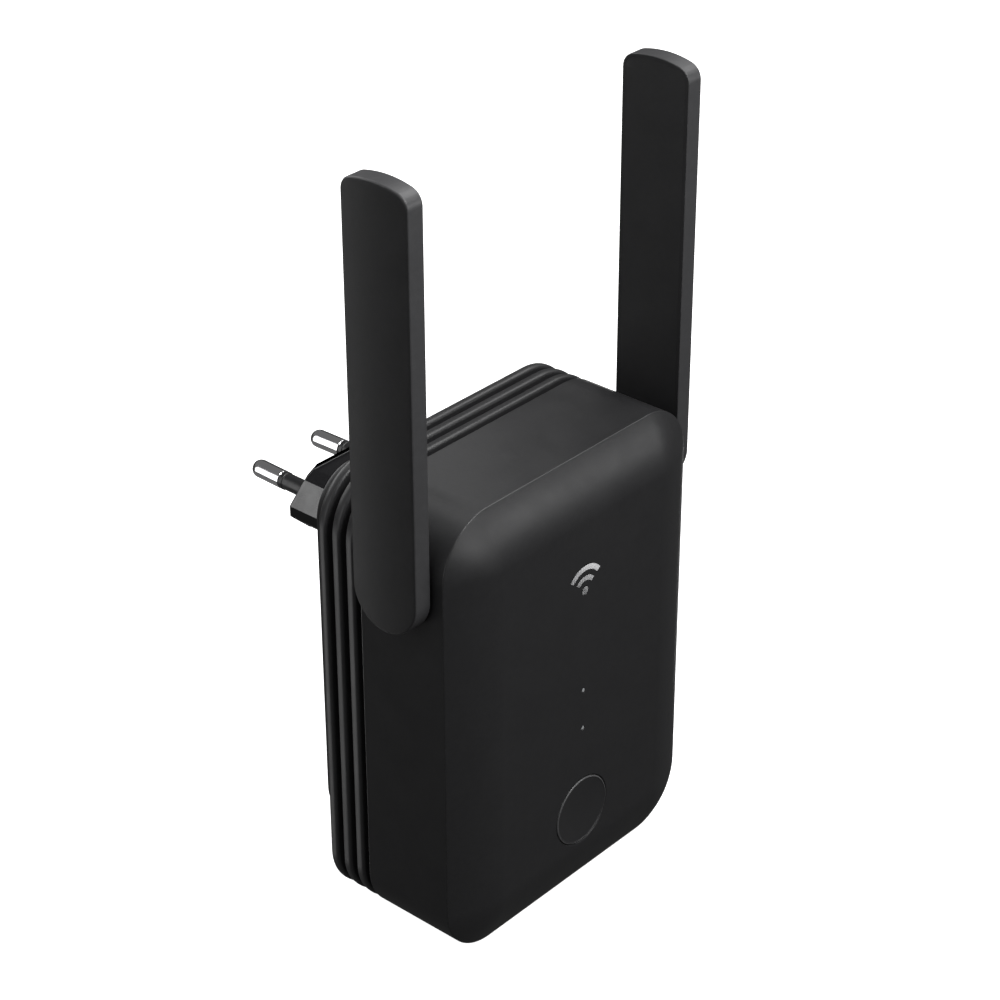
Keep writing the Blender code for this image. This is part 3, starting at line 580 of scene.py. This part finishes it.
def build_pins(pin_material, sleeve_material):
    low, high = limits("pin_left")
    tip = high.y
    core = limits("pin_sleeve_left")[0].y
    contacts = []
    for side, sign in (("left", -1), ("right", 1)):
        dome = [(tip - 1.9 + 1.9 * math.sin(a), PIN_R * max(math.cos(a), 0.02) ** 0.8)
                for a in [math.pi / 2 * k / 8 for k in range(9)]]
        profile = [(low.y, PIN_CORE_R), (SLEEVE_END_Y + 0.05, PIN_CORE_R), (SLEEVE_END_Y + 0.1, PIN_R - 0.12)]
        profile += [(SLEEVE_END_Y + 0.22, PIN_R), (tip - 2.4, PIN_R)] + dome
        piece = pin_piece("contact_" + side, sign, profile)
        even_normals(piece)
        bake(piece)
        contacts.append(settle(piece, "housing", pin_material, ["pin_" + side]))
        outer = [(core, SLEEVE_R), (SLEEVE_END_Y - 1.1, SLEEVE_R), (SLEEVE_END_Y - 0.95, PIN_R - 0.02)]
        outer += [(SLEEVE_END_Y - 0.1, PIN_R - 0.02), (SLEEVE_END_Y, PIN_R - 0.12)]
        inner = [(SLEEVE_END_Y, SLEEVE_BORE), (core, SLEEVE_BORE)]
        piece = pin_piece("contact_sleeve_" + side, sign, outer + inner, True)
        even_normals(piece)
        bake(piece)
        contacts.append(settle(piece, "housing", sleeve_material, ["pin_sleeve_" + side]))
    return contacts


# ---------------------------------------------------------------- controls

def build_button(material, lip_highlight_material):
    """Round cap with a dished face inside a slim lip, a flange behind the wall and a stem."""
    lip = BUTTON_R - BUTTON_LIP
    radii = (0.4, 1.6, 3.0, 4.4, 5.6, 6.6, lip)
    dish = [(FACE_Y + BUTTON_DISH * (1.0 - (radius / lip) ** 2), radius) for radius in radii]
    flange = FACE_Y + WALL + 0.3
    flange_end = flange + BUTTON_FLANGE_DEPTH
    corners = [(lip, FACE_Y, 0.0), (lip + 0.12, FACE_Y - 0.1, 0.1)]
    corners += [(BUTTON_R, FACE_Y - 0.1, 0.28), (BUTTON_R, flange, 0.0)]
    rim = [(y, radius) for radius, y in soften(corners, 4)][1:]
    back = [(flange, BUTTON_R + BUTTON_FLANGE), (flange_end, BUTTON_R + BUTTON_FLANGE)]
    back += [(flange_end, BUTTON_STEM_R), (BUTTON_BACK, BUTTON_STEM_R)]
    piece = turned("pairing_key", "Y", (0.0, BUTTON_Z), dish + rim + back, 96)
    even_normals(piece)
    bake(piece)
    settle(piece, "pairing_button", material, ["button_cap"])
    # The lip's faces take a lighter plastic: a painted highlight for the bright line round the key.
    piece.data.materials.append(lip_highlight_material)
    for face in piece.data.polygons:
        away = face.center / MM - Vector((0.0, 0.0, BUTTON_Z))
        if away.y < FACE_Y + 0.4 and math.hypot(away.x, away.z) > BUTTON_R - 0.3:
            face.material_index = 1


# ---------------------------------------------------------------- antennas

def blade_outline(low, high, inset):
    """Blade seen from the side: round lower end, straight sides, shallow arched top."""
    full = (high.y - low.y) / 2.0
    middle = (high.y + low.y) / 2.0
    half = full - inset
    corner = max(BLADE_CORNER_R - inset, 0.3)
    arch = BLADE_TOP_R - inset
    arch_z = high.z - BLADE_TOP_R
    corner_y = half - corner
    corner_z = arch_z + math.sqrt((arch - corner) ** 2 - corner_y ** 2)
    turn = math.degrees(math.atan2(corner_z - arch_z, corner_y))
    arcs = [(0.0, low.z + full, half, 180.0, 360.0, 40)]
    arcs.append((corner_y, corner_z, corner, 0.0, turn, 10))
    arcs.append((0.0, arch_z, arch, turn, 180.0 - turn, 16))
    arcs.append((-corner_y, corner_z, corner, 180.0 - turn, 180.0, 10))
    outline = []
    for index, (centre_y, centre_z, radius, start, end, steps) in enumerate(arcs):
        for step in range(1 if index in (2, 3) else 0, steps + 1):
            angle = math.radians(start + (end - start) * step / steps)
            across = middle + centre_y + radius * math.cos(angle)
            outline.append((across, centre_z + radius * math.sin(angle)))
    return outline


def blade_rings(low, high, sign, section):
    """Rings for a blade; section is a list of (inset, distance of the ring from the middle plane)."""
    return [[(sign * x, y, z) for y, z in blade_outline(low, high, inset)] for inset, x in section]


def bulge_outer(piece, low, high, sign):
    """Curve the blade's outer face slightly about its long axis."""
    work = bmesh.new()
    work.from_mesh(piece.data)
    middle = (high.y + low.y) / 2.0 * MM
    half = (high.y - low.y) / 2.0 * MM
    outer = max(abs(low.x), abs(high.x)) * MM
    for step in range(-7, 8):
        geometry = work.verts[:] + work.edges[:] + work.faces[:]
        cut_at = (0.0, middle + half * step / 8.0, 0.0)
        bmesh.ops.bisect_plane(work, geom=geometry, dist=1e-7, plane_co=cut_at, plane_no=(0.0, 1.0, 0.0))
    for vert in work.verts:
        depth = outer - sign * vert.co.x
        share = max(0.0, 1.0 - depth / (BLADE_WALL * MM))
        vert.co.x -= sign * share * BLADE_BULGE * MM * ((vert.co.y - middle) / half) ** 2
    work.to_mesh(piece.data)
    work.free()
    piece.data.set_sharp_from_angle(angle=SHARP_ANGLE)


def paint_rim_light(piece, material):
    """Second, lighter material on the faces that run round the blade's narrow edge: painted light standing in
    for the light these faces catch.
    """
    piece.data.materials.append(material)
    for face in piece.data.polygons:
        if abs(face.normal.x) < 0.8:
            face.material_index = 1


def build_antenna(side, material, rim_light_material, cover_material):
    low, high = limits("antenna_" + side + "_shell")
    sign = math.copysign(1.0, low.x)
    outer = max(abs(low.x), abs(high.x))
    inner = min(abs(low.x), abs(high.x))
    section = soften([(3.0, outer, 0.0), (0.0, outer, 0.5), (0.0, inner, 0.22), (BLADE_LEDGE, inner, 0.0)], 6)
    section += [(BLADE_LEDGE, inner + BLADE_WALL), (BLADE_LEDGE + 1.0, inner + BLADE_WALL)]
    section.append((BLADE_LEDGE + 1.0, outer - BLADE_WALL))
    piece = loft("antenna_blade_" + side, blade_rings(low, high, sign, section))
    bulge_outer(piece, low, high, sign)
    even_normals(piece)
    bake(piece)
    body = "antenna_" + side
    blade = settle(piece, body, material, ["antenna_" + side + "_shell"])
    paint_rim_light(blade, rim_light_material)
    face, edge = inner + LID_DROP, BLADE_LEDGE + LID_SEAM
    section = soften([(3.2, face, 0.0), (edge, face, 0.03), (edge, inner + 1.0, 0.0)], 4)
    piece = loft("antenna_lid_" + side, blade_rings(low, high, sign, section))
    hub_low, hub_high = limits("antenna_" + side + "_hub")
    centre = ((hub_low.y + hub_high.y) / 2.0, (hub_low.z + hub_high.z) / 2.0)
    carve(piece, [well("X", centre, sign * inner, sign, HUB_HOLE_R, 4.0, 0.1)])
    settle(piece, body, cover_material, ["antenna_" + side + "_cover"])
    return blade


# ---------------------------------------------------------------- carried-over CAD nodes

def dress_cad_nodes():
    """Procedural materials for the CAD nodes that stay in view or inside."""
    steel_nodes = [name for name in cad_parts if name.startswith("back_screw_")]
    steel_nodes += ["antenna_left_washer", "antenna_right_washer"]
    finishes = {
        EMBLEM_NODES: metal("satin_chrome", (0.72, 0.72, 0.73), 0.12, (1.0, 1.0, 12.0)),
        LIGHT_NODES: smooth_plastic("frosted_lens", (0.36, 0.37, 0.38), 0.25),
        tuple(steel_nodes): metal("zinc_steel", (0.16, 0.16, 0.165), 0.42),
        ("rf_shield",): metal("tinned_steel", (0.62, 0.62, 0.6), 0.3, (10.0, 1.0, 1.0)),
        ("heat_spreader",): metal("extruded_aluminium", (0.68, 0.68, 0.7), 0.35, (1.0, 1.0, 14.0)),
        ("jack_contacts",): metal("gold_plating", (0.83, 0.6, 0.2), 0.22, (1.0, 1.0, 8.0)),
        ("main_board", "power_board"): circuit_board("solder_mask"),
        ("antenna_left_radiator", "antenna_right_radiator"): circuit_board("antenna_board"),
        ("antenna_left_hub", "antenna_right_hub"):
            grained_plastic("hub_plastic", (0.015, 0.015, 0.016), 0.38),
        ("ethernet_jack", "tact_switch", "board_link"):
            rough_solid("black_nylon", (0.016, 0.016, 0.017), 0.5),
        ("transformer_core",): rough_solid("ferrite", (0.035, 0.034, 0.036), 0.65, 0.3),
        ("transformer_winding",): rough_solid("winding_tape", (0.62, 0.42, 0.05), 0.4, 0.8, 0.03, 0.12),
        ("capacitor_large", "capacitor_small"): smooth_plastic("can_sleeve", (0.02, 0.03, 0.09), 0.3),
        ("filter_capacitor",): smooth_plastic("box_capacitor", (0.6, 0.4, 0.04), 0.4),
        ("switch_plunger",): smooth_plastic("white_nylon", (0.6, 0.59, 0.55), 0.45),
        ("coax_lead_left", "coax_lead_right"): smooth_plastic("cable_jacket", (0.012, 0.012, 0.012), 0.4),
    }
    for nodes, material in finishes.items():
        for node in nodes:
            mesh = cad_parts[node].data
            mesh.materials.clear()
            mesh.materials.append(material)


# ---------------------------------------------------------------- stage

CAMERA_AT = (-0.35315, -0.35381, 0.28441)
CAMERA_YAW = 48.627
CAMERA_PITCH = 30.131
CAMERA_ROLL = -0.156
CAMERA_LENS = 97.54


def build_camera():
    data = bpy.data.cameras.new("camera")
    data.lens = CAMERA_LENS
    data.clip_start = 0.01
    data.clip_end = 50.0
    camera = bpy.data.objects.new("camera", data)
    turn = Matrix.Rotation(math.radians(-CAMERA_YAW), 4, "Z")
    tilt = Matrix.Rotation(math.radians(90.0 - CAMERA_PITCH), 4, "X")
    roll = Matrix.Rotation(math.radians(CAMERA_ROLL), 4, "Z")
    camera.matrix_world = Matrix.Translation(CAMERA_AT) @ turn @ tilt @ roll
    bpy.context.scene.collection.objects.link(camera)
    bpy.context.scene.camera = camera


def softbox(name, azimuth, elevation, distance, size, radiance):
    """Rectangular light aimed at the housing; azimuth 0 is straight in front, 90 to the right."""
    width, height = size
    data = bpy.data.lights.new(name, "AREA")
    data.shape = "RECTANGLE"
    data.size = width
    data.size_y = height
    data.energy = radiance * math.pi * width * height
    light = bpy.data.objects.new(name, data)
    turn = math.radians(azimuth)
    lift = math.radians(elevation)
    toward = Vector((math.sin(turn) * math.cos(lift), -math.cos(turn) * math.cos(lift), math.sin(lift)))
    target = Vector((0.0, -0.045, 0.0))
    light.matrix_world = (Matrix.Translation(target + toward * distance)
                          @ toward.to_track_quat("Z", "Y").to_matrix().to_4x4())
    bpy.context.scene.collection.objects.link(light)
    return light


def glowing(name, colour):
    """Pale stage surface that lights itself, like a light table."""
    shader = Shader(name, (colour, colour, colour), 0.9, specular=0.0)
    shader.vary_colour(shader.noise(40.0, 2.0), 0.01)
    shader.vary_roughness(shader.noise(40.0, 2.0), 0.02)
    shader.surface.inputs["Emission Color"].default_value = (1.0, 1.0, 1.0, 1.0)
    shader.surface.inputs["Emission Strength"].default_value = 1.0
    shader.material.cycles.emission_sampling = "NONE"
    return shader.material


def build_stage():
    """Pale floor at the housing's foot and a pale dome far behind everything."""
    for name, radius, height in (("floor", 6.0, BOTTOM * MM - 0.0008), ("backdrop", 9.0, 0.0)):
        work = bmesh.new()
        if name == "floor":
            bmesh.ops.create_circle(work, cap_ends=True, segments=96, radius=radius)
        else:
            bmesh.ops.create_uvsphere(work, u_segments=48, v_segments=24, radius=radius)
        mesh = bpy.data.meshes.new(name)
        work.to_mesh(mesh)
        work.free()
        mesh.materials.append(glowing(name + "_paint", 0.85))
        item = bpy.data.objects.new(name, mesh)
        item.location.z = height
        item.visible_diffuse = False
        item.visible_glossy = False
        item.visible_transmission = False
        item.visible_shadow = False
        bpy.context.scene.collection.objects.link(item)


# name: (azimuth, elevation, distance, (width, height), radiance)
LIGHTS = {
    "crown_right": (30.0, 8.0, 1.2, (0.20, 0.15), 5.4),
    "crown_middle": (42.0, 8.0, 1.2, (0.22, 0.18), 7.4),
    "front_soft": (5.0, 8.0, 1.2, (0.60, 0.40), 3.2),
    "front_high": (0.0, 50.0, 0.33, (0.12, 0.12), 11.5),
    "front_over": (0.0, 58.0, 1.2, (0.90, 0.60), 1.4),
    "left_near": (-60.0, 60.0, 0.33, (0.12, 0.12), 2.6),
    "right_near": (60.0, 50.0, 0.33, (0.12, 0.12), 2.4),
    "rear_near": (180.0, 60.0, 0.33, (0.12, 0.12), 1.2),
    "right_over": (90.0, 60.0, 1.2, (0.90, 0.60), 4.2),
    "right_side": (95.0, 30.0, 1.2, (0.70, 0.70), 0.5),
    "left_side": (-95.0, 15.0, 1.2, (0.70, 0.90), 1.2),
    "rear_soft": (180.0, 22.0, 1.2, (1.20, 0.60), 2.8),
    "table_rear": (180.0, -25.0, 1.2, (0.80, 0.50), 2.2),
    "table_right": (135.0, -25.0, 1.2, (0.80, 0.50), 3.6),
}
AMBIENT = 0.062

# lights that fall on a few pieces only, in the same form
PIN_STRIP = (-130.0, 14.0, 1.2, (0.45, 1.50), 2.4)
PIN_OVER = (170.0, 48.0, 1.2, (1.80, 1.40), 0.11)
PIN_UNDER = (-170.0, -50.0, 1.2, (1.80, 1.00), 0.11)
PLUG_CARD = (-142.0, 43.7, 1.2, (0.34, 0.30), 4.4)
EMBLEM_CARD = (48.6, -27.5, 0.6, (0.10, 0.06), 1.6)
ROOF_CARD = (147.0, 47.0, 0.10, (0.03, 0.03), 0.85)
BLADE_STRIP = (-120.0, 0.0, 0.075, (0.012, 0.30), 1.0)
RIB_CARD = (-131.0, -28.0, 1.2, (0.80, 0.50), 1.5)


def build_lights():
    for name, (azimuth, elevation, distance, size, radiance) in LIGHTS.items():
        softbox(name, azimuth, elevation, distance, size, radiance)
    world = bpy.data.worlds.new("studio")
    world.use_nodes = True
    background = world.node_tree.nodes["Background"]
    background.inputs["Color"].default_value = (1.0, 1.0, 1.0, 1.0)
    background.inputs["Strength"].default_value = AMBIENT
    bpy.context.scene.world = world
    bpy.context.scene.view_settings.view_transform = "Standard"


def light_only(name, pieces, settings):
    """Softbox that falls on the given pieces and nothing else."""
    light = softbox(name, *settings)
    receivers = bpy.data.collections.new(name + "_receivers")
    for piece in pieces:
        receivers.objects.link(piece)
    light.light_linking.receiver_collection = receivers


def spare(name, pieces):
    """Keep one of the softboxes off the given pieces."""
    spared = bpy.data.collections.new(name + "_spared")
    for piece in pieces:
        spared.objects.link(piece)
    for entry in spared.collection_objects:
        entry.light_linking.link_state = "EXCLUDE"
    bpy.data.objects[name].light_linking.receiver_collection = spared


build_camera()
build_stage()
build_lights()

SHELL = grained_plastic("housing_plastic")
REAR = grained_plastic("rear_plastic", (0.025, 0.025, 0.026))
BLADE = grained_plastic("blade_plastic")
# Lighter plastic for the blades' narrow edges: painted light, brighter than the blade plastic to stand in for
# the light they catch.
RIM_PAINTED_LIGHT = grained_plastic("rim_painted_light", (0.046, 0.046, 0.048), 0.4)
LID = grained_plastic("lid_plastic", roughness=0.44)
KEY = grained_plastic("key_plastic", (0.021, 0.021, 0.022), 0.36, 0.22, 0.01)

front = build_front(SHELL)
rear = build_rear(REAR)
plate = build_plate(REAR)
plug = build_plug(smooth_plastic("plug_gloss", (0.014, 0.014, 0.015), 0.16))
contacts = build_pins(metal("nickel_plating", (0.72, 0.72, 0.73), 0.12, (1.0, 20.0, 1.0)),
                      smooth_plastic("sleeve_nylon", (0.014, 0.014, 0.015), 0.34))
# The key's lip gets a lighter plastic as a painted highlight.
build_button(KEY, grained_plastic("key_lip_painted_highlight", (0.09, 0.09, 0.092), 0.3))
blades = [build_antenna(side, BLADE, RIM_PAINTED_LIGHT, LID) for side in ("left", "right")]
dress_cad_nodes()

light_only("pin_strip", contacts, PIN_STRIP)
light_only("pin_over", contacts, PIN_OVER)
light_only("pin_under", contacts, PIN_UNDER)
light_only("plug_card", [plug], PLUG_CARD)
light_only("emblem_card", [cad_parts[node] for node in EMBLEM_NODES], EMBLEM_CARD)
light_only("roof_card", [front], ROOF_CARD)
light_only("blade_strip", blades[:1], BLADE_STRIP)
light_only("rib_card", [rear], RIB_CARD)
for name in ("rear_soft", "rear_near"):
    spare(name, [plug] + contacts)
for name in ("table_rear", "table_right"):
    spare(name, [plug, rear, plate, blades[0]] + contacts)
